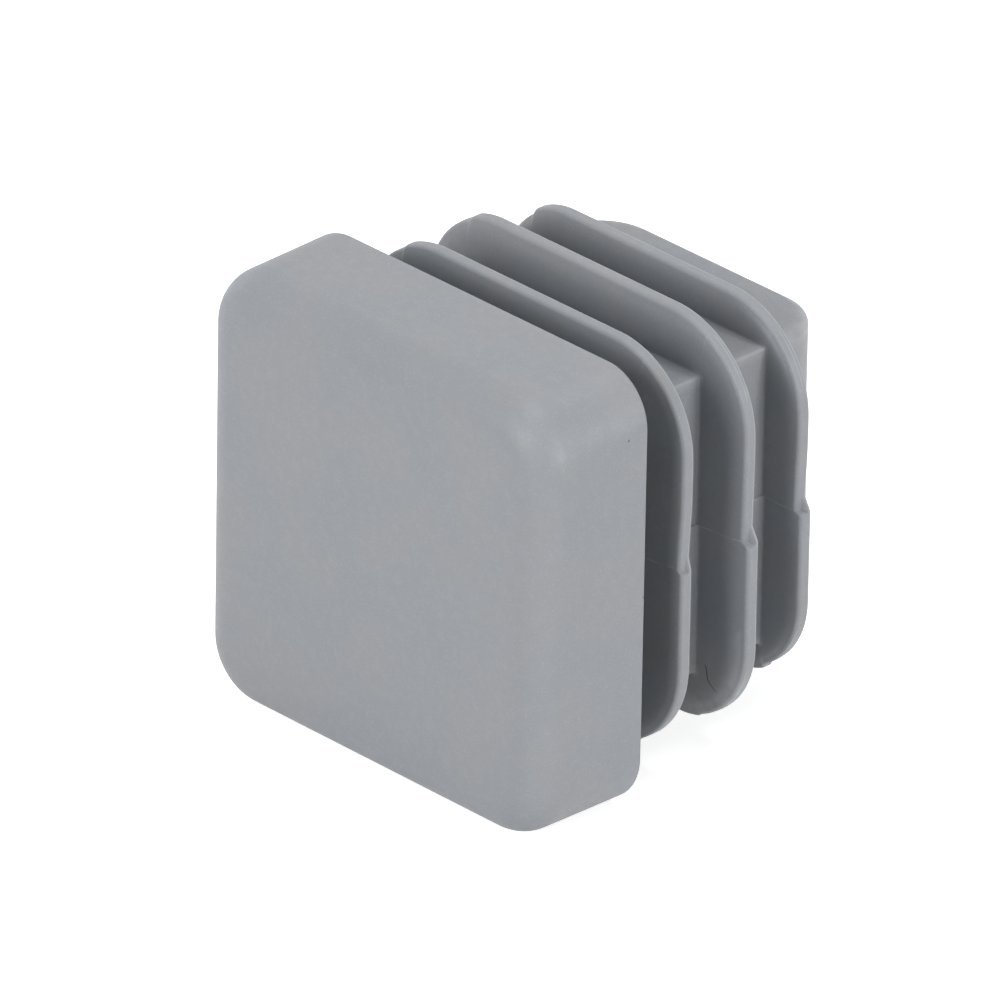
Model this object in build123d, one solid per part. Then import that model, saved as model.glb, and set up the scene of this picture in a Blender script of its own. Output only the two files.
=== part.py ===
"""Ribbed end cap for a square tube, injection-moulded in one piece.

The plug's axis is Y: the head closes the tube at -Y, and the finned core runs into it towards +Y.
The origin is the centre of the head's underside, the face that seats on the tube's end.
The cap lies on its side, so that Z is up and is the way the mould opens.
"""
from build123d import *
import os

# Head: the block that stays outside the tube
HEAD_SIDE = 20.0
HEAD_THICKNESS = 6.0
HEAD_CORNER_RADIUS = 2.7
HEAD_FRONT_RADIUS = 1.7
HEAD_BACK_RADIUS = 0.15

# Core: the square stem that carries the fins
CORE_SIDE = 13.7
CORE_LENGTH = 13.9
CORE_EDGE_RADIUS = 0.3
CORE_LEAD_RADIUS = 2.65

# Hollow: open at the core's rear end, and run on into the head to keep its wall even
CORE_WALL = 2.0
FRONT_WALL = 2.5
HOLLOW_CORNER_RADIUS = 1.0
HOLLOW_FLOOR_RADIUS = 0.6

# Fins: thin plates round the core that bend as they enter the tube, thickest at their root
FIRST_FIN_BACK = 3.2
FIN_PITCH = 3.7
FIN_RIM_THICKNESS = 0.65
FIN_RIM_RADIUS = 0.3
FIN_ROOT_THICKNESS = 1.0

# Each fin, from the head back: the last one is the smallest, to lead the plug in
FIN_WIDTHS = (18.8, 18.5, 17.2)
FIN_HEIGHTS = (18.6, 18.4, 17.0)
FIN_CORNER_RADII = (4.6, 4.2, 4.0)

# Mould parting line: below it the core's and each fin's sides stand further out by a small step
PARTING_HEIGHT = -0.15
CORE_PARTING_STEP = 0.1
FIN_PARTING_STEPS = (0.1, 0.4, 0.3)


def outline(width, height, corner_radius, y):
    """A rounded rectangle across the plug's axis, at the place y along it."""
    across = Plane(origin=(0, y, 0), x_dir=(1, 0, 0), z_dir=(0, 1, 0))
    return across * RectangleRounded(width, height, corner_radius)


def front_face(solid):
    """The flat face nearest the front of the head."""
    return solid.faces().filter_by(Axis.Y).sort_by(Axis.Y)[0]


def back_face(solid):
    """The flat face furthest from the front of the head."""
    return solid.faces().filter_by(Axis.Y).sort_by(Axis.Y)[-1]


def join_mould_halves(upper, lower):
    """Upper as it is above the parting line, on lower as it is below that line."""
    room = 2 * HEAD_SIDE
    above = Pos(0, 0, PARTING_HEIGHT + room / 2) * Box(room, room, room)
    return (upper & above) + (lower - above)


def make_head():
    """The block: rounded corners, a large radius round its front and a small one round its back."""
    block = extrude(outline(HEAD_SIDE, HEAD_SIDE, HEAD_CORNER_RADIUS, -HEAD_THICKNESS), HEAD_THICKNESS)
    block = fillet(front_face(block).edges(), HEAD_FRONT_RADIUS)
    return fillet(back_face(block).edges(), HEAD_BACK_RADIUS)


def make_core(width):
    """The stem, rooted inside the head, with two upright rear edges rounded to lead it in."""
    length = CORE_LENGTH + CORE_WALL
    plan = Pos(0, CORE_LENGTH - length / 2) * Rectangle(width, length)
    plan = fillet(plan.vertices().group_by(Axis.Y)[-1], CORE_LEAD_RADIUS)
    stem = extrude(plan, CORE_SIDE / 2, both=True)
    return fillet(stem.faces().filter_by(Axis.Z).edges(), CORE_EDGE_RADIUS)


def make_fin(back, width, height, corner_radius):
    """A plate with a flat rim, rounded at its front, on a web that thickens towards the core."""
    front = back - FIN_RIM_THICKNESS
    plate = extrude(outline(width, height, corner_radius, front), FIN_RIM_THICKNESS)
    plate = fillet(front_face(plate).edges(), FIN_RIM_RADIUS)
    swell = (FIN_ROOT_THICKNESS - FIN_RIM_THICKNESS) / 2
    inset = 2 * FIN_RIM_RADIUS
    end = outline(width - inset, height - inset, corner_radius - FIN_RIM_RADIUS, front - swell)
    web = extrude(end, FIN_ROOT_THICKNESS)
    slope_length = (height - inset - CORE_SIDE) / 2
    for face in (front_face(web), back_face(web)):
        web = chamfer(face.edges(), slope_length, swell, reference=face)
    return plate + web


def make_hollow():
    """The space inside: square with rounded corners, and a rounded floor behind the front wall."""
    side = CORE_SIDE - 2 * CORE_WALL
    floor = FRONT_WALL - HEAD_THICKNESS
    space = extrude(outline(side, side, HOLLOW_CORNER_RADIUS, floor), CORE_LENGTH - floor)
    return fillet(front_face(space).edges(), HOLLOW_FLOOR_RADIUS)


def make_end_cap():
    """Head, core and fins in one piece, hollowed from the rear."""
    cap = make_head()
    cap += join_mould_halves(make_core(CORE_SIDE), make_core(CORE_SIDE + 2 * CORE_PARTING_STEP))
    fins = zip(FIN_WIDTHS, FIN_HEIGHTS, FIN_CORNER_RADII, FIN_PARTING_STEPS)
    for number, (width, height, radius, step) in enumerate(fins):
        back = FIRST_FIN_BACK + number * FIN_PITCH
        upper = make_fin(back, width, height, radius)
        lower = make_fin(back, width + 2 * step, height, radius)
        cap += join_mould_halves(upper, lower)
    return cap - make_hollow()


os.makedirs("parts", exist_ok=True)
export_step(make_end_cap(), "parts/end_cap.step")
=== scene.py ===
"""Looks of a ribbed end cap for a square tube: one moulding of fine-grained grey plastic.

The cap's skin is one closed surface: a profile that runs from the middle of the head's front, out
over the head, in and out along the core and its fins, and back through the hollow to its floor.
"""
import bpy
import numpy as np
from mathutils import Matrix, Vector


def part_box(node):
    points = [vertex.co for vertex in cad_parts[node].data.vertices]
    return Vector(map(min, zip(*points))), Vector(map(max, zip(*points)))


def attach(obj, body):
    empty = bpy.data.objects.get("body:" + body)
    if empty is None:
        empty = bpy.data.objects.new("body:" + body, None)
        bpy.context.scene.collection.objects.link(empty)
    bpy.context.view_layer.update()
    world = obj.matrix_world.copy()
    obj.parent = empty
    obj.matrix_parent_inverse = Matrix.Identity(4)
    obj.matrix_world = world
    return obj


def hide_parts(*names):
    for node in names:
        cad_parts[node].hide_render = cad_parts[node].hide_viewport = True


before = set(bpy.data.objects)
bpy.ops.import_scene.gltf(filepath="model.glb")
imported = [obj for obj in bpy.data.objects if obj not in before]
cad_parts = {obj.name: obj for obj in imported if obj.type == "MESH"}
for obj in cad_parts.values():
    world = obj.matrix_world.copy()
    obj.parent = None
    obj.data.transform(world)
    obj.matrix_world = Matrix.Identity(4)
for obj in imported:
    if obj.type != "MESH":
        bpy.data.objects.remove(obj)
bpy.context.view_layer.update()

MM = 0.001
NODE = "end_cap"

# Overall sizes in millimetres, from the frame
low_corner, high_corner = (np.array(corner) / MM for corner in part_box(NODE))
HEAD_HALF = high_corner[0]
HEAD_FRONT = low_corner[1]
CORE_END = high_corner[1]

# Head, in millimetres
HEAD_CORNER = 2.82
HEAD_BACK_CORNER = 2.62
HEAD_PLAIN_CORNER = 2.32
HEAD_FRONT_RADIUS = 1.7
HEAD_BACK_RADIUS = 0.07

# Core, its corners between the fins, and its rear end's top and bottom edges and upright edges
CORE_HALF = 6.85
CORE_CORNER = 0.12
CORE_EDGE = 0.3
LEAD_RADIUS = 2.65
ROOT_RADIUS = 0.08

# Hollow
HOLLOW_HALF = 4.85
HOLLOW_CORNER = 1.0
HOLLOW_FLOOR = HEAD_FRONT + 2.5
HOLLOW_FLOOR_RADIUS = 0.6
MOUTH_RADIUS = 0.1

# Fins, from the head back: place of the rim's back edge, half width and height, parting step, and
# how far the upper half spreads again above its step
FIN_BACKS = (3.2, 6.9, 10.6)
FIN_HALF_WIDTHS = (9.32, 9.28, 8.62)
FIN_HALF_HEIGHTS = (9.26, 9.18, 8.48)
FIN_STEPS = (0.17, 0.35, 0.34)
FIN_SPREADS = (0.15, 0.06, 0.11)
SPREAD_HEIGHT = 3.5

# Rim of a fin, with its rounded front that starts at an angle in radians, and the swell of the back face
RIM_THICKNESS = 0.58
RIM_FRONT_RADIUS = 0.2
RIM_FRONT_ANGLE = 0.30
RIM_BACK_RADIUS = 0.04
WEB_SWELL = 0.175

# Front face of a fin: it slopes gently, and bends back to the rim's rounded front
WEB_SLOPE = 0.06
WEB_BEND = 0.8

# Each fin's corners and middle come from separate mould inserts that meet in line with the core's
# sides. Where x and z have opposite signs, the middle's outline ends in a tighter curve, so a small
# shoulder stands at the joint. The other two corners are plain rounds
FIN_CORNERS = (4.68, 4.2, 4.1)
FIN_MIDDLE_CORNERS = (4.4, 3.9, 3.65)
FIN_PLAIN_CORNERS = (4.3, 4.6, 4.4)
INSERT_JOINT_HALF = 0.12
INSERT_LINE_HEIGHT = 0.008

# How far out from the core the marks on a fin's faces begin to show
WEB_CLEAR = 0.8

# Fine lines that run round the fins: two ridges on each rim's corners, a crease inside each rim. The
# crease is deeper in the lower right corner, and elsewhere its depth comes and goes
RIDGE_HEIGHTS = (0.004, 0.02, 0.02)
RIDGE_START = 4
CREASE_DEPTHS = (0.004, 0.012, 0.005)
CREASE_SHAPE = np.array((0.3, 0.8, 1.0, 0.8, 0.3))
CREASE_IN_CORNER = 1.4

# Parting line along the two sides, with a thin raised witness: its height on the core, and on each
# fin's web, rim and back edge. A ramp leads down to the step behind each rim
CORE_PARTING = 0.02
FIN_PARTINGS = ((0.12, -0.04, -0.04), (0.06, -0.06, 0.02), (-0.06, -0.10, -0.15))
CORE_STEP = 0.1
RAMP_HEIGHT = 0.6
LEDGE_DEPTH = 0.12
WITNESS_HALF = 0.04
WITNESS_HEIGHT = 0.011

# Finish: greys in linear light, and roughness from the grain's pits to its tips
COOL_GREY = (0.280, 0.297, 0.322, 1.0)
WARM_GREY = (0.293, 0.301, 0.315, 1.0)
PALE_GREY = (0.46, 0.47, 0.49, 1.0)
DARK_GREY = (0.035, 0.037, 0.04, 1.0)
ROUGHNESS = (0.60, 0.48)

# Grain: sizes of its pits, lumps, clouds and specks of painted glint, how far it tints the plastic, and its
# bump
PIT_SIZE = 0.11
LUMP_SIZE = 0.5
CLOUD_SIZE = 3.5
SPECK_SIZE = 0.06
GRAIN_TINT = 0.13
SPECK_TINT = 0.25
BUMP_STRENGTH = 0.5
BUMP_DEPTH = 0.02

# Painted highlights on edges and marks: how pale each kind is, from 0 to 1, and what they do to the finish
JOINT_PALE = 0.25
RIDGE_PALE = 0.7
RIM_EDGE_PALE = 0.8
MOUTH_PALE = 0.5
CORE_EDGE_PALE = 0.45
PAINTED_LIGHT_PALE = 0.9
CREASE_PALE = 0.5
PAINTED_HIGHLIGHT_TINT = 0.8
HIGHLIGHT_GLOSS = 0.12
HIGHLIGHT_PATCH_SIZE = 0.8

# Painted light on the middle fin's lower right: where it starts in x and z, and the lengths over which it
# grows. The creases there are painted pale below their top
PAINTED_LIGHT_START = (2.0, -5.6)
PAINTED_LIGHT_RISE = (3.0, 2.5)
CREASE_PALE_TOP = -4.0

# Painted shade: a darker tint of the fins' faces, which stands in for deeper shade than the lamps leave
# there. It isn't a colour of the plastic. Its share, how far in from the rim it is full, how much of it
# the faces past the first gap take, and how much is left at heights from the bottom to the top
PAINTED_SHADE_TINT = 0.36
PAINTED_SHADE_FADE = 0.6
PAINTED_SHADE_PAST_FIRST = 0.42
PAINTED_SHADE_HEIGHTS = (-8.0, -4.0, 5.0, 7.5)
PAINTED_SHADE_LEFT = (0.3, 1.0, 1.0, 0.4)

# Specks of dirt: place, radius and darkness
SPOTS = (((HEAD_HALF, -1.08, 7.61), 0.09, 0.55), ((HEAD_HALF, -0.03, 0.09), 0.12, 0.35))

# Hairline crack in the middle fin: its top end in x and z, length down, lean, bend, and how it sways
CRACK_TOP = (7.45, -6.2)
CRACK_LENGTH = 1.2
CRACK_LEAN = 0.14
CRACK_BEND = 0.34
CRACK_SWAY = 0.065
CRACK_WAVE = 6.2
CRACK_HALF_WIDTH = 0.05
CRACK_FADE = 0.15
CRACK_TINT = 0.85

# How near a fin's face the marks, the painted light and the painted shade on it reach
FACE_REACH = 0.3

# How far short of the head and of the core's rear end the marks on the plug stop
PLUG_MARGINS = (0.02, 0.1)

# Columns of the skin: on each corner, on each top and bottom flat, and on each half of a side
JOINT_START, JOINT_END, CORNER_COLUMNS = 14, 18, 26
FLAT_COLUMNS = 28
SIDE_COLUMNS = 14
NEAR_PARTING = (WITNESS_HALF, 0.1, 0.2, 0.3, 0.4, 0.5, RAMP_HEIGHT)

# Rows of the skin: on the head's side and front, on the faces inside and behind it, on the core and the
# hollow's walls, on large and small rounds, on a fin's web and close to its rim, on the rim's rounded
# front, and across its flat part as shares
HEAD_ROWS = 12
FRONT_ROWS = 21
UNDER_ROWS = 10
CORE_ROWS = 7
HOLLOW_ROWS = 16
ARC_ROWS = 13
TAIL_ROWS = 8
LARGE_ROUND = 15
FLOOR_ROUND = 8
MOUTH_ROUND = 6
SMALL_ROUND = 5
WEB_ROWS = 12
NEAR_RIM = np.array((1.0, 0.7, 0.45, 0.3, 0.22, 0.15, 0.07))
RIM_ROUND = 10
RIDGE_ROW = 6
RIM_SHARES = np.array((0.2, 0.4, 0.55, 0.7, 0.85))
RIDGE_SHARE = 0.55

# First and last share of the front face and of the hollow's floor, next to the poles
FRONT_POLE = 0.04
FLOOR_POLE = 0.05

# Half height from which a row has room for the set distances near the parting line
FULL_HEIGHT = 6.0

# Columns of one row of the profile
(Y, WIDTH, HEIGHT, CORNER, MIDDLE, PLAIN, STEP, SPREAD, PARTING, RAMP, REAR, JOINT, RIDGE, CREASE,
 PALE) = range(15)

# Soft boxes: turn from the head's front to its right and height, both in degrees, side in metres,
# and level on a surface that faces the box. They stand this far from the middle, in metres
LAMPS = (
    (4.0, 24.0, 0.3, 0.61),
    (105.0, 12.0, 0.2, 0.50),
    (180.0, 80.0, 0.25, 0.46),
    (-90.0, 20.0, 0.55, 0.20),
    (200.0, 20.0, 0.55, 0.20),
)
LAMP_DISTANCE = 0.5

# Floor: half side in metres, grey, roughness, and its glow where it is seen
FLOOR_HALF = 20.0
FLOOR_GREY = (0.8, 0.8, 0.8, 1.0)
FLOOR_ROUGHNESS = 0.9
FLOOR_GLOW = 0.75

# Camera: azimuth, elevation and roll in degrees, distance and the middle of its view in millimetres
CAMERA_ANGLES = (45.428, 27.760, 0.983)
CAMERA_DISTANCE = 760.4
VIEW_CENTRE = (1.0912, 0.5748)
LENS = 668.1


def quarter(count):
    """Angles of a quarter turn."""
    return np.linspace(0.0, np.pi / 2, count)


def between(count, stop=1.0):
    """Even shares from 0 to the stop, without those two."""
    return np.linspace(0.0, stop, count + 2)[1:-1]


def smooth(share):
    """A share that starts and ends its rise gently: three times its square less twice its cube."""
    return share * share * (3 - 2 * share)


def clipped(share):
    """A share held between 0 and 1."""
    return np.clip(share, 0.0, 1.0)


def rows(y, width, height, corner, middle=None, plain=None, step=0.0, spread=0.0, parting=CORE_PARTING,
         ramp=0.0, rear=0.0, joint=0.0, ridge=0.0, crease=0.0, pale=0.0):
    """Rows of the profile: y, half width, half height, and radii of the corner, middle and plain corner.

    The step widens the half below the parting height, and the spread widens the half above, the
    more the higher. The ramp is the share of the step that runs on above that line, and rear is the
    share of the rear's own curve that a row follows. The joint is the share to which a row's columns
    keep to the inserts' joint. Ridge and crease are heights, and pale is how much painted highlight the
    row's edge takes.
    """
    middle = corner if middle is None else middle
    plain = corner if plain is None else plain
    values = np.broadcast_arrays(y, width, height, corner, middle, plain, step, spread, parting, ramp,
                                 rear, joint, ridge, crease, pale)
    return np.stack(values, axis=-1).reshape(-1, PALE + 1)


def head_rows():
    """Front face from its middle out, front radius, side, back edge and underside in to the core."""
    flat = HEAD_HALF - HEAD_FRONT_RADIUS
    share = np.linspace(FRONT_POLE, 1.0, FRONT_ROWS + 1)[:-1]
    front = rows(HEAD_FRONT, flat * share, flat * share, (HEAD_CORNER - HEAD_FRONT_RADIUS) * share)
    turn = quarter(LARGE_ROUND)
    out = HEAD_FRONT_RADIUS * (1 - np.sin(turn))
    rise = HEAD_FRONT_RADIUS * (1 - np.cos(turn))
    bevel = rows(HEAD_FRONT + rise, HEAD_HALF - out, HEAD_HALF - out, HEAD_CORNER - out)
    share = between(HEAD_ROWS)
    side_start, side_end = HEAD_FRONT + HEAD_FRONT_RADIUS, -HEAD_BACK_RADIUS
    side = rows(side_start + (side_end - side_start) * share, HEAD_HALF, HEAD_HALF,
                HEAD_CORNER + (HEAD_BACK_CORNER - HEAD_CORNER) * share,
                plain=HEAD_CORNER + (HEAD_PLAIN_CORNER - HEAD_CORNER) * share)
    turn = quarter(SMALL_ROUND)
    back_in = HEAD_BACK_RADIUS * (1 - np.cos(turn))
    back = rows(-HEAD_BACK_RADIUS * (1 - np.sin(turn)), HEAD_HALF - back_in, HEAD_HALF - back_in,
                HEAD_BACK_CORNER - back_in, plain=HEAD_PLAIN_CORNER - back_in)
    share = between(UNDER_ROWS)
    outer = HEAD_HALF - HEAD_BACK_RADIUS
    half = outer + (CORE_HALF + ROOT_RADIUS - outer) * share
    corner = HEAD_BACK_CORNER - HEAD_BACK_RADIUS
    plain = HEAD_PLAIN_CORNER - HEAD_BACK_RADIUS
    under = rows(0.0, half, half, corner + (CORE_CORNER - corner) * share,
                 plain=plain + (CORE_CORNER - plain) * share, step=CORE_STEP * share)
    return np.vstack((front, bevel, side, back, under))


def root_rows(y, towards):
    """Hollow radius between the core and a face at y: towards is 1 out of the core, -1 back into it."""
    turn = quarter(SMALL_ROUND)
    out = ROOT_RADIUS * (1 - np.cos(turn))
    along = ROOT_RADIUS * (1 - np.sin(turn))
    half = CORE_HALF + out
    made = rows(y - towards * along, half, half, CORE_CORNER, step=CORE_STEP)
    return made if towards > 0 else made[::-1]


def core_rows(start, stop, last_corner):
    """The plain core from one place to another: its corner radius goes to the last one evenly."""
    share = between(CORE_ROWS)
    return rows(start + (stop - start) * share, CORE_HALF, CORE_HALF,
                CORE_CORNER + (last_corner - CORE_CORNER) * share, step=CORE_STEP)


def web_drop(out):
    """How far a fin's front face stands in front of its rim's rounding, this far in from it.

    The face's slope goes in a straight line from the rounding's angle to the web's slope over the
    bend, and keeps to the web's slope further in.
    """
    bent = np.minimum(out, WEB_BEND)
    lost = (RIM_FRONT_ANGLE - WEB_SLOPE) * bent ** 2 / (2 * WEB_BEND)
    return RIM_FRONT_ANGLE * bent - lost + WEB_SLOPE * (out - bent)


def web_rows(edge, root_y, ramp, crease):
    """One face of a fin from its root out to the row edge: its values run in straight lines.

    The rows close to the edge are closer together, so that the crease has room. A front face, with
    no root place given, bends as web_drop says. The ramp grows as the cube of the way out.
    """
    start = CORE_HALF + ROOT_RADIUS
    reach = edge[HEIGHT] - start
    near_edge = 1 - NEAR_RIM / reach
    share = np.hstack((between(WEB_ROWS, near_edge[0]), near_edge))
    inner = rows(0.0, start, start, CORE_CORNER, step=CORE_STEP)[0]
    made = inner + (edge - inner) * share[:, None]
    if root_y is None:
        made[:, Y] = edge[Y] - web_drop(reach * (1 - share))
    else:
        made[:, Y] = root_y + (edge[Y] - root_y) * share
    made[:, RAMP] = ramp * share ** 3
    made[:, JOINT] = 1.0
    made[:, (RIDGE, CREASE, PALE)] = 0.0
    made[-len(CREASE_SHAPE):, CREASE] = crease * CREASE_SHAPE
    return made


def fin_front(back, half_height):
    """Place of a fin's front face at its root."""
    edge_in = RIM_FRONT_RADIUS * (1 - np.sin(RIM_FRONT_ANGLE))
    return back - RIM_THICKNESS - web_drop(half_height - edge_in - CORE_HALF - ROOT_RADIUS)


def fin_rows(back, half_width, half_height, corner, middle, plain, step, spread, partings, ridge, crease):
    """A fin: root, front face, rounded front of the rim, flat rim, crisp back edge, back face, root."""
    on_web, on_rim, at_back = partings

    def rim_rows(y, inset, parting, ramp=0.0, height=0.0, pale=0.0):
        """Rows of the rim, set in from its outline by the inset, with a ridge of this height."""
        return rows(y, half_width - inset, half_height - inset, corner - inset, middle - inset,
                    plain - inset, step, spread, parting, ramp, joint=1.0, ridge=height, pale=pale)

    turn = np.linspace(RIM_FRONT_ANGLE, np.pi / 2, RIM_ROUND)
    front = back - RIM_THICKNESS
    flat_start = front + RIM_FRONT_RADIUS * np.cos(RIM_FRONT_ANGLE)
    share = (np.sin(turn) - np.sin(turn[0])) / (1 - np.sin(turn[0]))
    rim_front = rim_rows(flat_start - RIM_FRONT_RADIUS * np.cos(turn), RIM_FRONT_RADIUS * (1 - np.sin(turn)),
                         on_web + (on_rim - on_web) * share,
                         height=ridge * (np.arange(RIM_ROUND) == RIDGE_ROW))
    flat_length = back - RIM_BACK_RADIUS - flat_start
    rim = rim_rows(flat_start + flat_length * RIM_SHARES, 0.0, on_rim + (at_back - on_rim) * RIM_SHARES,
                   (RIM_SHARES > RIDGE_SHARE) * 1.0, ridge * (RIM_SHARES == RIDGE_SHARE))
    turn = quarter(SMALL_ROUND)
    rim_back = rim_rows(back - RIM_BACK_RADIUS * (1 - np.sin(turn)), RIM_BACK_RADIUS * (1 - np.cos(turn)),
                        at_back, 1.0, pale=RIM_EDGE_PALE)
    front_face = web_rows(rim_front[0], None, 0.0, crease)
    back_face = web_rows(rim_back[-1], back + WEB_SWELL, 1.0, 0.0)[::-1]
    return np.vstack((root_rows(fin_front(back, half_height), 1), front_face, rim_front, rim, rim_back,
                      back_face, root_rows(back + WEB_SWELL, -1)))


def rear_place(x, z):
    """Place of the core's rear at x and z.

    The top and bottom edges drop as a quarter round. At that depth inside its plan, the rear is an
    arc of the lead radius less the depth at each side, and straight between the arcs.
    """
    over = np.clip(np.abs(z) - (CORE_HALF - CORE_EDGE), 0.0, CORE_EDGE)
    depth = CORE_EDGE - np.sqrt(CORE_EDGE ** 2 - over ** 2)
    over = np.clip(np.abs(x) - (CORE_HALF - LEAD_RADIUS), 0.0, None)
    arc = np.sqrt(np.clip((LEAD_RADIUS - depth) ** 2 - over ** 2, 0.0, None))
    return CORE_END - LEAD_RADIUS + arc


def hollow_rows():
    """Mouth edge, walls, rounded floor edge and floor of the hollow, to its middle."""
    turn = quarter(MOUTH_ROUND)
    half = HOLLOW_HALF + MOUTH_RADIUS * (1 - np.sin(turn))
    mouth = rows(CORE_END - MOUTH_RADIUS * (1 - np.cos(turn)), half, half,
                 HOLLOW_CORNER + MOUTH_RADIUS * (1 - np.sin(turn)), rear=np.cos(turn), pale=MOUTH_PALE)
    wall_start, wall_end = CORE_END - MOUTH_RADIUS, HOLLOW_FLOOR + HOLLOW_FLOOR_RADIUS
    wall = rows(wall_start + (wall_end - wall_start) * between(HOLLOW_ROWS), HOLLOW_HALF, HOLLOW_HALF,
                HOLLOW_CORNER)
    turn = quarter(FLOOR_ROUND)
    inset = HOLLOW_FLOOR_RADIUS * (1 - np.cos(turn))
    edge = rows(HOLLOW_FLOOR + HOLLOW_FLOOR_RADIUS * (1 - np.sin(turn)), HOLLOW_HALF - inset,
                HOLLOW_HALF - inset, HOLLOW_CORNER - inset)
    share = np.linspace(1.0, FLOOR_POLE, UNDER_ROWS + 2)[1:]
    half = HOLLOW_HALF - HOLLOW_FLOOR_RADIUS
    floor = rows(HOLLOW_FLOOR, half * share, half * share, (HOLLOW_CORNER - HOLLOW_FLOOR_RADIUS) * share)
    return np.vstack((mouth, wall, edge, floor))


def corner_points(profile, widening, shoulder):
    """Corner of each row's rounded rectangle in the first quadrant, from the side round to the top.

    Two quarter rounds, of the corner's radius and of the middle's, share their side and top. With no
    shoulder both have the plain corner's radius. Where a row keeps to the joint, its columns go
    round the first up to the joint, cross over, and go on round the second. Elsewhere they are
    evenly spaced.
    """
    half = profile[:, WIDTH, None] + widening
    height = profile[:, HEIGHT, None]
    keeps = profile[:, JOINT, None]
    corner = profile[:, CORNER if shoulder else PLAIN, None]
    middle = profile[:, MIDDLE if shoulder else PLAIN, None]
    joint = CORE_HALF + CORE_STEP * np.any(widening > 0)
    count = np.arange(CORNER_COLUMNS + 1)
    even = count / CORNER_COLUMNS * np.pi / 2

    def angle_at(radius, place):
        """Angle at which a quarter round of this radius is at that place across."""
        return np.arccos(clipped((place - half + radius) / np.maximum(radius, 1e-9)))

    def on_round(radius, angle):
        """Places across and up of a quarter round of this radius, at that angle."""
        return half - radius + radius * np.cos(angle), height - radius + radius * np.sin(angle)

    start = angle_at(corner, joint + INSERT_JOINT_HALF) * keeps + even[JOINT_START] * (1 - keeps)
    end = angle_at(middle, joint - INSERT_JOINT_HALF) * keeps + even[JOINT_END] * (1 - keeps)
    before = clipped(count / JOINT_START)
    across = clipped((count - JOINT_START) / (JOINT_END - JOINT_START))
    after = clipped((count - JOINT_END) / (CORNER_COLUMNS - JOINT_END))
    outer_x, outer_z = on_round(corner, start * before)
    inner_x, inner_z = on_round(middle, end + (np.pi / 2 - end) * after)
    joint_x = outer_x + (inner_x - outer_x) * across
    joint_z = outer_z + (inner_z - outer_z) * smooth(across)
    even_x, even_z = on_round(corner, even)
    return even_x + (joint_x - even_x) * keeps, even_z + (joint_z - even_z) * keeps


def lead_slices():
    """Slices of the core's rear end, up to where the hollow's mouth leaves room for its face.

    In a slice the rounded top edge runs from the wall in to the greatest depth that the slice
    meets. The wall at that depth is an arc of the lead radius less the depth.
    """
    arc_start = CORE_END - LEAD_RADIUS
    last = rear_place(HOLLOW_HALF + 2 * MOUTH_RADIUS, 0.0)
    first_turn = np.arcsin(1 - CORE_EDGE / LEAD_RADIUS)
    arc = arc_start + LEAD_RADIUS * np.sin(np.linspace(0.0, first_turn, ARC_ROWS + 1)[:-1])
    last_turn = np.arcsin(1 - (CORE_END - last) / CORE_EDGE)
    tail = CORE_END - CORE_EDGE * (1 - np.sin(np.linspace(0.0, last_turn, TAIL_ROWS)))
    y = np.hstack((arc, tail))
    deepest = np.minimum(CORE_EDGE, CORE_END - y)[:, None]
    turn = np.arccos(1 - deepest / CORE_EDGE) * np.linspace(0.0, 1.0, CORNER_COLUMNS + 1)
    depth = CORE_EDGE * (1 - np.cos(turn))
    across = np.clip((LEAD_RADIUS - depth) ** 2 - (y[:, None] - arc_start) ** 2, 0.0, None)
    x = CORE_HALF - LEAD_RADIUS + np.sqrt(across)
    z = CORE_HALF - CORE_EDGE + CORE_EDGE * np.sin(turn)
    return rows(y, x[:, 0], z[:, -1], CORE_EDGE, step=CORE_STEP), x, z


def whole_profile():
    """All rows in order, with each row's upper and lower corner: x and z of each column."""
    made = [head_rows(), root_rows(0.0, -1)]
    place = ROOT_RADIUS
    fins = zip(FIN_BACKS, FIN_HALF_WIDTHS, FIN_HALF_HEIGHTS, FIN_CORNERS, FIN_MIDDLE_CORNERS,
               FIN_PLAIN_CORNERS, FIN_STEPS, FIN_SPREADS, FIN_PARTINGS, RIDGE_HEIGHTS, CREASE_DEPTHS)
    for back, half_width, half_height, *sizes in fins:
        root = fin_front(back, half_height)
        made += [core_rows(place, root - ROOT_RADIUS, CORE_CORNER),
                 fin_rows(back, half_width, half_height, *sizes)]
        place = back + WEB_SWELL + ROOT_RADIUS
    made.append(core_rows(place, CORE_END - LEAD_RADIUS, CORE_EDGE))
    outer = np.vstack(made)
    lead, lead_x, lead_z = lead_slices()
    hollow = hollow_rows()
    hollow_x, hollow_z = corner_points(hollow, 0.0, 0)
    share = between(UNDER_ROWS)[:, None]
    face_x = lead_x[-1] + (hollow_x[0] - lead_x[-1]) * share
    face_z = lead_z[-1] + (hollow_z[0] - lead_z[-1]) * share
    face = rows(CORE_END, face_x[:, 0], face_z[:, -1], 0.0, step=CORE_STEP * (1 - share[:, 0]), rear=1.0)
    profile = np.vstack((outer, lead, face, hollow))
    rest_x, rest_z = np.vstack((lead_x, face_x, hollow_x)), np.vstack((lead_z, face_z, hollow_z))
    corners = {}
    for lower in (0, 1):
        for shoulder in (0, 1):
            outer_x, outer_z = corner_points(outer, lower * outer[:, STEP, None], shoulder)
            wider_x = rest_x + lower * profile[outer.shape[0]:, STEP, None]
            corners[lower, shoulder] = np.vstack((outer_x, wider_x)), np.vstack((outer_z, rest_z))
    return profile, corners


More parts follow.
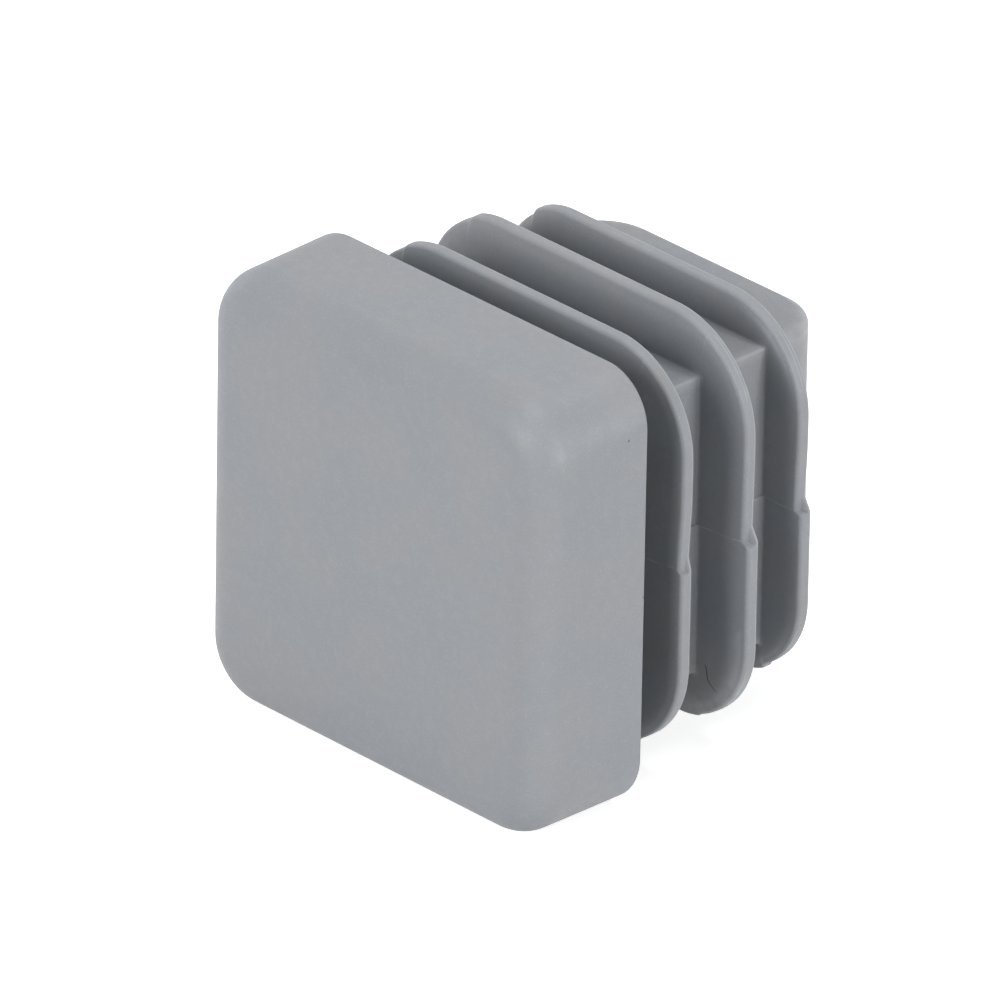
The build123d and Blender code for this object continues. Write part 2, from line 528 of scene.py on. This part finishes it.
def columns():
    """Each column's corner index, signs of x and z, and its places along a side and along a flat."""
    steps = len(NEAR_PARTING) + SIDE_COLUMNS
    side = np.arange(steps)
    corner = np.arange(CORNER_COLUMNS + 1)
    flat = np.linspace(1.0, -1.0, FLAT_COLUMNS + 1)[1:-1]
    made = []
    for half in (1, -1):
        up = np.stack(np.broadcast_arrays(0, half, half, side, 1.0), axis=-1)
        turn = np.stack(np.broadcast_arrays(corner, half, half, steps, 1.0), axis=-1)
        top = np.stack(np.broadcast_arrays(CORNER_COLUMNS, half, half, steps, flat), axis=-1)
        back_turn = np.stack(np.broadcast_arrays(corner[::-1], -half, half, steps, 1.0), axis=-1)
        down = np.stack(np.broadcast_arrays(0, -half, half, side[::-1], 1.0), axis=-1)
        witness = np.array([[0, -half, -half, -1, 1.0]])
        made += [up, turn, top, back_turn, down, witness]
    return np.vstack(made)


def row_scale(profile):
    """Share of the set distances near the parting line that each row has room for."""
    return clipped(profile[:, HEIGHT] / FULL_HEIGHT)[:, None]


def side_places(profile, end, column):
    """Height above the parting line of a side's columns: set distances near it, then equal shares."""
    steps = len(NEAR_PARTING) + SIDE_COLUMNS
    near = np.array((0.0,) + NEAR_PARTING)
    scale = row_scale(profile)
    last = NEAR_PARTING[-1] * scale
    index = np.clip(column + 1, 0, steps)
    beyond = clipped((index - len(NEAR_PARTING)) / (SIDE_COLUMNS + 1))
    close = near[np.clip(index, 0, len(NEAR_PARTING)).astype(int)] * scale
    return np.where(index <= len(NEAR_PARTING), close, last + (end - last) * beyond)


def skin_points(profile, corners):
    """Points of the skin, one row per ring and one column per place round it.

    The half below the parting line stands out by the step. Above that line the ramp leads down to
    the step, below it a soft ledge leads up to it, and the upper half spreads with its height.
    """
    corner, sign_x, sign_z, side, flat = columns().T
    corner = corner.astype(int)
    is_side = side < len(NEAR_PARTING) + SIDE_COLUMNS
    is_lower = (sign_z < 0) | (side < 0)
    parting = profile[:, PARTING, None] * row_scale(profile)
    has_shoulder = sign_x * sign_z < 0
    x, corner_z = 0.0, 0.0
    for (lower, shoulder), (across, up) in corners.items():
        here = (is_lower == lower) & (has_shoulder == shoulder)
        x = x + across[:, corner] * here
        corner_z = corner_z + sign_z * up[:, corner] * here
    height = side_places(profile, np.abs(corner_z - parting), side)
    z = np.where(is_side, parting + np.where(side < 0, 0.0, sign_z) * height, corner_z)
    ramp = profile[:, RAMP, None] * clipped(1 - (z - parting) / RAMP_HEIGHT)
    y = profile[:, Y, None] + profile[:, REAR, None] * (rear_place(x, z) - CORE_END)
    x = x + profile[:, STEP, None] * np.where(is_lower, 0.0, ramp)
    sunk = clipped((parting - z) / LEDGE_DEPTH)
    on_ledge = is_side * is_lower * (1 - profile[:, RAMP, None]) * (profile[:, JOINT, None] > 0)
    x = x - profile[:, STEP, None] * on_ledge * (1 - smooth(sunk))
    x = x + profile[:, SPREAD, None] * smooth(clipped((z - parting) / SPREAD_HEIGHT))
    return np.stack((sign_x * flat * x, y, z), axis=-1)


def grid_normals(points):
    """Unit normals of a grid that closes round its columns: profile direction cross column direction."""
    along = np.gradient(points, axis=0)
    around = np.roll(points, -1, axis=1) - np.roll(points, 1, axis=1)
    normal = np.cross(along, around)
    return normal / np.maximum(np.linalg.norm(normal, axis=-1, keepdims=True), 1e-12)


def web_share(profile):
    """For each row, 1 on a fin's faces and 0 elsewhere, with a rise from the core out."""
    on_face = (profile[:, JOINT] > 0) & (profile[:, RIDGE] == 0)
    return (on_face * clipped(profile[:, HEIGHT] - CORE_HALF - WEB_CLEAR))[:, None]


def rim_lines(profile, points, corner, in_corner):
    """Heights of the ridges on the rims' corners, and depths of the creases inside the rims."""
    x, _, z = np.moveaxis(points, -1, 0)
    window = clipped(np.minimum(corner - RIDGE_START, JOINT_START + 2 - corner) / 2)
    ridge = profile[:, RIDGE, None] * window * in_corner
    elsewhere = 0.6 + 0.4 * np.sin(0.9 * x + 0.5 * z)
    return ridge, profile[:, CREASE, None] * np.where((x > 0) & (z < 0), CREASE_IN_CORNER, elsewhere)


def painted_light_low_right(profile, points):
    """How much painted light the middle fin's lower right takes, and the creases there."""
    x, y, z = np.moveaxis(points, -1, 0)
    on_middle = np.abs(y - FIN_BACKS[1] + RIM_THICKNESS) < FACE_REACH
    right = clipped((x - PAINTED_LIGHT_START[0]) / PAINTED_LIGHT_RISE[0])
    low = clipped((PAINTED_LIGHT_START[1] - z) / PAINTED_LIGHT_RISE[1])
    creased = profile[:, CREASE, None] / max(CREASE_DEPTHS) * (x > PAINTED_LIGHT_START[0]) * (z < CREASE_PALE_TOP)
    return PAINTED_LIGHT_PALE * web_share(profile) * on_middle * low * right + CREASE_PALE * creased


def painted_shade_share(profile, z):
    """How much of the painted shade on the fins' faces each point takes."""
    edge = np.select([profile[:, Y] < back + FACE_REACH for back in FIN_BACKS], FIN_HALF_HEIGHTS, 0.0)
    share = (profile[:, JOINT] > 0) * clipped((edge - profile[:, HEIGHT]) / PAINTED_SHADE_FADE)
    share = share * np.where(profile[:, Y] < FIN_BACKS[0] - FACE_REACH, 1.0, PAINTED_SHADE_PAST_FIRST)
    return share[:, None] * np.interp(z, PAINTED_SHADE_HEIGHTS, PAINTED_SHADE_LEFT)


def fine_relief(profile, points):
    """Heights of the raised and sunk lines, how pale each point's painted highlight is, and its painted
    shade.

    The lines are the parting witness, the insert joints, the rim ridges and the creases.
    """
    corner, _, _, side, flat = columns().T
    y = points[..., 1]
    outside = np.arange(len(profile)) < np.argmax(profile[:, Y])
    on_plug = (y > PLUG_MARGINS[0]) & (y < CORE_END - PLUG_MARGINS[1]) & outside[:, None]
    near_rims = [np.abs(profile[:, WIDTH] - half) < RIM_FRONT_RADIUS for half in FIN_HALF_WIDTHS]
    witness = on_plug * (side < 0) * ~np.any(near_rims, axis=0)[:, None]
    in_corner = (flat == 1.0) & (side >= len(NEAR_PARTING) + SIDE_COLUMNS)
    joint = web_share(profile) * (in_corner & (corner == (JOINT_START + JOINT_END) // 2))
    ridge, crease = rim_lines(profile, points, corner, in_corner)
    height = WITNESS_HEIGHT * witness + INSERT_LINE_HEIGHT * joint + ridge - crease
    core_edge = on_plug * (profile[:, CORNER] < CORE_EDGE + 0.01)[:, None] * in_corner
    # Painted highlights along the witness, the joints, the ridges, the edges and the middle fin's lower
    # right
    pale = witness + JOINT_PALE * joint + RIDGE_PALE * ridge / max(RIDGE_HEIGHTS)
    pale = pale + profile[:, PALE, None] + CORE_EDGE_PALE * core_edge + painted_light_low_right(profile, points)
    return height, clipped(pale), painted_shade_share(profile, points[..., 2])


def closed_skin(name, points, first_pole, last_pole):
    """A mesh of a grid closed round its columns, with a pole at each end, in millimetres."""
    ring_count, column_count = points.shape[:2]
    index = np.arange(ring_count * column_count).reshape(ring_count, column_count)
    after = np.roll(index, -1, axis=1)
    quads = np.stack((index[:-1], index[1:], after[1:], after[:-1]), axis=-1).reshape(-1, 4)
    first, last = index.size, index.size + 1
    front_fan = np.stack((np.full(column_count, first), index[0], after[0]), axis=-1)
    back_fan = np.stack((np.full(column_count, last), after[-1], index[-1]), axis=-1)
    vertices = np.vstack((points.reshape(-1, 3), first_pole, last_pole)) * MM
    mesh = bpy.data.meshes.new(name)
    mesh.from_pydata(vertices.tolist(), [], quads.tolist() + front_fan.tolist() + back_fan.tolist())
    mesh.update()
    mesh.shade_smooth()
    return mesh


def make_cap():
    """The cap's skin, its fine raised and sunk lines, and its painted highlight and painted shade on each
    point.
    """
    profile, corners = whole_profile()
    points = skin_points(profile, corners)
    height, pale, painted_shade = fine_relief(profile, points)
    points = points + grid_normals(points) * height[..., None]
    mesh = closed_skin("cap_skin", points, (0.0, HEAD_FRONT, 0.0), (0.0, HOLLOW_FLOOR, 0.0))
    for label, values in (("painted_highlight", pale), ("painted_shade", painted_shade)):
        layer = mesh.attributes.new(label, "FLOAT", "POINT")
        layer.data.foreach_set("value", np.hstack((values.ravel(), 0.0, 0.0)).astype(np.float32))
    cap = bpy.data.objects.new("cap", mesh)
    bpy.context.collection.objects.link(cap)
    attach(cap, "root")
    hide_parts(NODE)
    return cap


class Nodes:
    """Short ways to add nodes to a tree and link them: an input is a socket or a value."""

    def __init__(self, tree):
        self.tree = tree

    def add(self, kind, inputs=(), **settings):
        """A node of this kind with its settings and inputs, by name or place, filled in."""
        node = self.tree.nodes.new(kind)
        for setting, value in settings.items():
            setattr(node, setting, value)
        for name, value in dict(inputs).items():
            if isinstance(value, bpy.types.NodeSocket):
                self.tree.links.new(value, node.inputs[name])
            else:
                node.inputs[name].default_value = value
        return node

    def math(self, operation, first, second=0.0, third=0.0):
        """Result of one piece of arithmetic."""
        return self.add("ShaderNodeMath", {0: first, 1: second, 2: third}, operation=operation).outputs[0]

    def spread(self, value, from_low, from_high, to_low, to_high):
        """A value carried from one range to another, smoothly, and held inside it."""
        inputs = {"Value": value, "From Min": from_low, "From Max": from_high, "To Min": to_low,
                  "To Max": to_high}
        return self.add("ShaderNodeMapRange", inputs, interpolation_type="SMOOTHSTEP").outputs["Result"]

    def blend(self, share, first, second):
        """A colour between two colours."""
        node = self.add("ShaderNodeMix", {0: share, 6: first, 7: second}, data_type="RGBA")
        return node.outputs[2]

    def noise(self, place, size, detail=2.0):
        """Soft noise from 0 to 1 whose lumps are about this size in millimetres."""
        inputs = {"Vector": place, "Scale": 1 / (size * MM), "Detail": detail, "Roughness": 0.55}
        return self.add("ShaderNodeTexNoise", inputs).outputs["Fac"]


def moulded_grain():
    """Node group of a spark-eroded mould's grain: its height, a cloudy tint and specks of painted glint."""
    group = bpy.data.node_groups.new("moulded grain", "ShaderNodeTree")
    face = group.interface
    face.new_socket("Place", in_out="INPUT", socket_type="NodeSocketVector")
    for name in ("Height", "Cloud", "Sparkle"):
        face.new_socket(name, in_out="OUTPUT", socket_type="NodeSocketFloat")
    made = Nodes(group)
    place = made.add("NodeGroupInput").outputs["Place"]
    pits = made.noise(place, PIT_SIZE)
    lumps = made.noise(place, LUMP_SIZE, 1.0)
    height = made.math("MULTIPLY_ADD", pits, 0.6, made.math("MULTIPLY", lumps, 0.4))
    cloud = made.noise(place, CLOUD_SIZE, 3.0)
    speck = made.noise(place, SPECK_SIZE, 0.0)
    sparkle = made.spread(speck, 0.68, 0.8, 0.0, 1.0)
    made.add("NodeGroupOutput", {"Height": height, "Cloud": cloud, "Sparkle": sparkle})
    return group


def hairline(made, x, y, z):
    """Mask of the hairline crack in the middle fin's lower corner: a curve in x against z."""
    along = made.math("SUBTRACT", CRACK_TOP[1], z)
    bend = made.math("MULTIPLY_ADD", made.math("MULTIPLY", along, along), CRACK_BEND,
                     made.math("MULTIPLY", along, CRACK_LEAN))
    sway = made.math("MULTIPLY", made.math("SINE", made.math("MULTIPLY", along, CRACK_WAVE)), CRACK_SWAY)
    across = made.math("SUBTRACT", x, CRACK_TOP[0])
    off = made.math("ABSOLUTE", made.math("SUBTRACT", across, made.math("ADD", bend, sway)))
    line = made.spread(off, CRACK_HALF_WIDTH * 0.4, CRACK_HALF_WIDTH, 1.0, 0.0)
    starts = made.spread(along, 0.0, CRACK_FADE, 0.0, 1.0)
    ends = made.spread(along, CRACK_LENGTH - CRACK_FADE, CRACK_LENGTH, 1.0, 0.0)
    from_front = made.math("ABSOLUTE", made.math("SUBTRACT", y, FIN_BACKS[1] - RIM_THICKNESS))
    on_face = made.math("LESS_THAN", from_front, FACE_REACH)
    return made.math("MULTIPLY", made.math("MULTIPLY", line, starts), made.math("MULTIPLY", ends, on_face))


def plastic():
    """Grey plastic with a fine spark-eroded grain and painted glints, faint clouds, painted highlights on
    edges and lines, and three marks.

    The fins' faces take a darker tint, which is painted shade.
    """
    material = bpy.data.materials.new("grey plastic")
    material.use_nodes = True
    made = Nodes(material.node_tree)
    shader = material.node_tree.nodes["Principled BSDF"]
    place = made.add("ShaderNodeTexCoord").outputs["Object"]
    grain = made.add("ShaderNodeGroup", node_tree=moulded_grain())
    material.node_tree.links.new(place, grain.inputs["Place"])
    height, cloud, sparkle = (grain.outputs[name] for name in ("Height", "Cloud", "Sparkle"))
    in_mm = made.add("ShaderNodeVectorMath", {0: place, 1: (1 / MM, 1 / MM, 1 / MM)}, operation="MULTIPLY")
    parts = made.add("ShaderNodeSeparateXYZ", {0: in_mm.outputs["Vector"]})
    x, y, z = (parts.outputs[name] for name in "XYZ")

    colour = made.blend(made.spread(cloud, 0.35, 0.65, 0.0, 1.0), COOL_GREY, WARM_GREY)
    grain_tint = made.math("MULTIPLY", made.spread(height, 0.35, 0.65, -0.5, 0.5), GRAIN_TINT)
    colour = made.blend(grain_tint, colour, PALE_GREY)
    # Painted glints: pale specks of the grain
    colour = made.blend(made.math("MULTIPLY", sparkle, SPECK_TINT), colour, PALE_GREY)
    # Painted highlights on edges and marks, in patches
    painted_highlight = made.add("ShaderNodeAttribute", attribute_name="painted_highlight").outputs["Fac"]
    painted_highlight = made.math("MULTIPLY", painted_highlight, made.spread(made.noise(place, HIGHLIGHT_PATCH_SIZE), 0.3, 0.6, 0.4, 1.0))
    colour = made.blend(made.math("MULTIPLY", painted_highlight, PAINTED_HIGHLIGHT_TINT), colour, PALE_GREY)
    # Painted shade on the fins' faces
    painted_shade = made.add("ShaderNodeAttribute", attribute_name="painted_shade").outputs["Fac"]
    colour = made.blend(made.math("MULTIPLY", painted_shade, PAINTED_SHADE_TINT), colour, DARK_GREY)
    crack = hairline(made, x, y, z)
    colour = made.blend(made.math("MULTIPLY", crack, CRACK_TINT), colour, DARK_GREY)
    for spot, radius, share in SPOTS:
        away = made.add("ShaderNodeVectorMath", {0: in_mm.outputs["Vector"], 1: spot}, operation="DISTANCE")
        mask = made.spread(away.outputs["Value"], radius * 0.4, radius, share, 0.0)
        colour = made.blend(mask, colour, DARK_GREY)
    material.node_tree.links.new(colour, shader.inputs["Base Color"])

    rough = made.spread(height, 0.3, 0.7, ROUGHNESS[0], ROUGHNESS[1])
    rough = made.math("MULTIPLY_ADD", painted_highlight, -HIGHLIGHT_GLOSS, rough)
    material.node_tree.links.new(rough, shader.inputs["Roughness"])
    inputs = {"Strength": BUMP_STRENGTH, "Distance": BUMP_DEPTH * MM, "Height": height}
    bump = made.add("ShaderNodeBump", inputs)
    material.node_tree.links.new(bump.outputs["Normal"], shader.inputs["Normal"])
    return material


def seen(made):
    """1 for rays that show the background, straight, in gloss or through glass, and 0 for its light."""
    path = made.add("ShaderNodeLightPath")
    kinds = ("Camera", "Glossy", "Transmission")
    straight, gloss, through = (path.outputs["Is %s Ray" % kind] for kind in kinds)
    return made.math("MAXIMUM", straight, made.math("MAXIMUM", gloss, through))


def make_floor():
    """A wide pale floor under the cap that the camera sees as white, and darker in its shadow."""
    mesh = bpy.data.meshes.new("floor")
    signs = ((-1, -1), (1, -1), (1, 1), (-1, 1))
    corners = [(x * FLOOR_HALF, y * FLOOR_HALF, -HEAD_HALF * MM) for x, y in signs]
    mesh.from_pydata(corners, [], [(0, 1, 2, 3)])
    floor = bpy.data.objects.new("floor", mesh)
    bpy.context.collection.objects.link(floor)
    material = bpy.data.materials.new("pale floor")
    material.use_nodes = True
    made = Nodes(material.node_tree)
    shader = material.node_tree.nodes["Principled BSDF"]
    shader.inputs["Base Color"].default_value = FLOOR_GREY
    shader.inputs["Roughness"].default_value = FLOOR_ROUGHNESS
    glow = made.add("ShaderNodeEmission", {"Strength": made.math("MULTIPLY", seen(made), FLOOR_GLOW)})
    both = made.add("ShaderNodeAddShader", {0: shader.outputs["BSDF"], 1: glow.outputs["Emission"]})
    made.add("ShaderNodeOutputMaterial", {"Surface": both.outputs["Shader"]}, is_active_output=True)
    mesh.materials.append(material)
    return floor


def make_lamp(turn, height, size, level):
    """A square soft box that gives a surface facing it this level of light.

    Its power is the level over the box's share of that surface's whole sky, times pi and the box's
    area. The share is that of a square seen from straight in front.
    """
    turn, height = np.radians((turn, height))
    direction = np.array((np.sin(turn) * np.cos(height), -np.cos(turn) * np.cos(height), np.sin(height)))
    data = bpy.data.lights.new("soft box", "AREA")
    data.shape = "SQUARE"
    data.size = size
    half = size / 2
    slant = np.hypot(LAMP_DISTANCE, half)
    sky = 4 / np.pi * half / slant * np.arctan(half / slant)
    data.energy = level / sky * np.pi * size * size
    lamp = bpy.data.objects.new("soft box", data)
    bpy.context.collection.objects.link(lamp)
    lamp.location = Vector((direction * LAMP_DISTANCE).tolist())
    lamp.rotation_euler = Vector(direction.tolist()).to_track_quat("Z", "Y").to_euler()


def make_world():
    """A white backdrop all round. It is seen, straight or in gloss, and gives the cap no other light."""
    world = bpy.data.worlds.new("studio")
    bpy.context.scene.world = world
    world.use_nodes = True
    made = Nodes(world.node_tree)
    background = world.node_tree.nodes["Background"]
    background.inputs["Color"].default_value = (1.0, 1.0, 1.0, 1.0)
    world.node_tree.links.new(seen(made), background.inputs["Strength"])


def make_camera():
    """A long lens that looks down on the head's front and right side."""
    azimuth, elevation, roll = np.radians(CAMERA_ANGLES)
    back = np.array((np.sin(azimuth) * np.cos(elevation), -np.cos(azimuth) * np.cos(elevation),
                     np.sin(elevation)))
    level = np.array((np.cos(azimuth), np.sin(azimuth), 0.0))
    upright = np.cross(back, level)
    right = np.cos(roll) * level + np.sin(roll) * upright
    up = -np.sin(roll) * level + np.cos(roll) * upright
    place = (back * CAMERA_DISTANCE + right * VIEW_CENTRE[0] + up * VIEW_CENTRE[1]) * MM
    camera = bpy.data.objects.new("camera", bpy.data.cameras.new("camera"))
    bpy.context.collection.objects.link(camera)
    turn = Matrix(np.stack((right, up, back), axis=1).tolist())
    camera.matrix_world = Matrix.Translation(Vector(place.tolist())) @ turn.to_4x4()
    camera.data.lens = LENS
    camera.data.clip_end = 100.0
    bpy.context.scene.camera = camera


make_cap().data.materials.append(plastic())
make_floor()
make_world()
for lamp in LAMPS:
    make_lamp(*lamp)
make_camera()
bpy.context.scene.view_settings.view_transform = "Standard"
